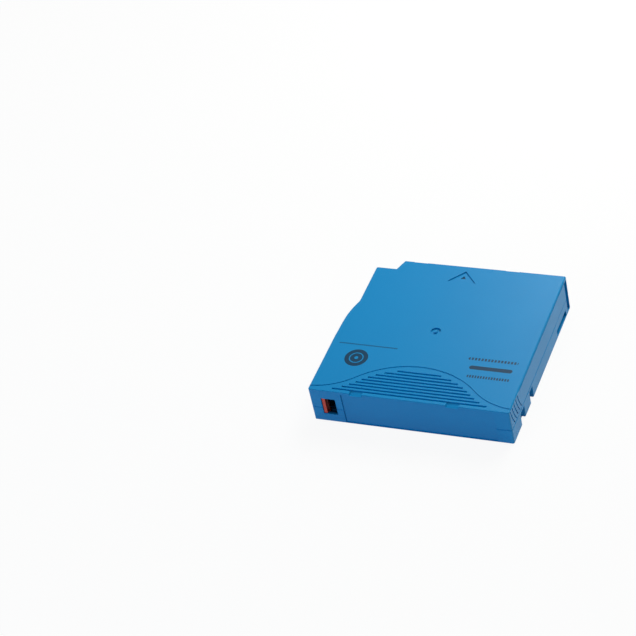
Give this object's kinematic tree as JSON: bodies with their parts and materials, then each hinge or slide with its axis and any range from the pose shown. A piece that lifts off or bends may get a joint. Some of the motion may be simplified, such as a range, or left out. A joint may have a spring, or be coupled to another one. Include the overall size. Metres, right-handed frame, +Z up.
{
  "type": "data tape cartridge",
  "caption": "Flat square single-reel cartridge for half-inch data tape, with a sprung side door, leader pin, braked reel and write-protect slider.",
  "frame": {"origin": "middle of the underside, under the centre of the outer box", "axes": "+Z up out of the top plate, +Y the way the cartridge goes into a drive, +X to its right, seen from the label face"},
  "size_m": [0.1054, 0.102, 0.0215],
  "materials": {
    "case_blue": "satin moulded plastic",
    "door_grey": "satin moulded plastic",
    "screw_steel": "zinc-plated steel",
    "spring_steel": "drawn wire",
    "pin_steel": "turned steel",
    "strip_steel": "stamped strip",
    "clip_plastic": "moulded plastic",
    "film_dark": "coated film",
    "reel_plastic": "moulded plastic",
    "hub_metal": "drawn ring",
    "clutch_steel": "stamped steel",
    "brake_plastic": "moulded plastic",
    "spider_plastic": "moulded plastic",
    "slider_red": "satin moulded plastic",
    "board_green": "lacquered board",
    "chip_black": "resin"
  },
  "bodies": {
    "case": {"upper_case": "case_blue", "lower_case": "case_blue", "case_screws": "screw_steel", "door_spring": "spring_steel", "brake_spring": "spring_steel", "leader_pin": "pin_steel", "pin_clip": "clip_plastic", "pin_spring": "strip_steel", "leader_tape": "film_dark", "memory_board": "board_green", "memory_chip": "chip_black"},
    "door": {"access_door": "door_grey"},
    "reel": {"reel_hub": "reel_plastic", "hub_ring": "hub_metal", "upper_flange": "reel_plastic", "clutch_plate": "clutch_steel", "tape_pack": "film_dark"},
    "brake": {"brake_button": "brake_plastic"},
    "release": {"release_spider": "spider_plastic"},
    "slider": {"write_protect_slider": "slider_red"}
  },
  "joints": [
    {"name": "door_slide", "type": "slide", "parent": "case", "child": "door", "axis": [0, -1, 0], "range_m": [0, 0.02], "stiffness_N_per_m": 20, "springref_m": -0.012, "deforming": ["door_spring"]},
    {"name": "reel_spin", "type": "hinge", "parent": "case", "child": "reel", "pos_m": [0.0019, 0, 0.01], "axis": [0, 0, 1], "continuous": true},
    {"name": "brake_lift", "type": "slide", "parent": "case", "child": "brake", "axis": [0, 0, 1], "range_m": [0, 0.0015], "stiffness_N_per_m": 400, "springref_m": -0.004, "deforming": ["brake_spring"]},
    {"name": "release_lift", "type": "slide", "parent": "reel", "child": "release", "axis": [0, 0, 1], "range_m": [0, 0.0015]},
    {"name": "write_protect_slide", "type": "slide", "parent": "case", "child": "slider", "axis": [1, 0, 0], "range_m": [0, 0.0056]}
  ],
  "couplings": [
    {"joint": "release_lift", "follows": "brake_lift", "ratio": 1}
  ]
}
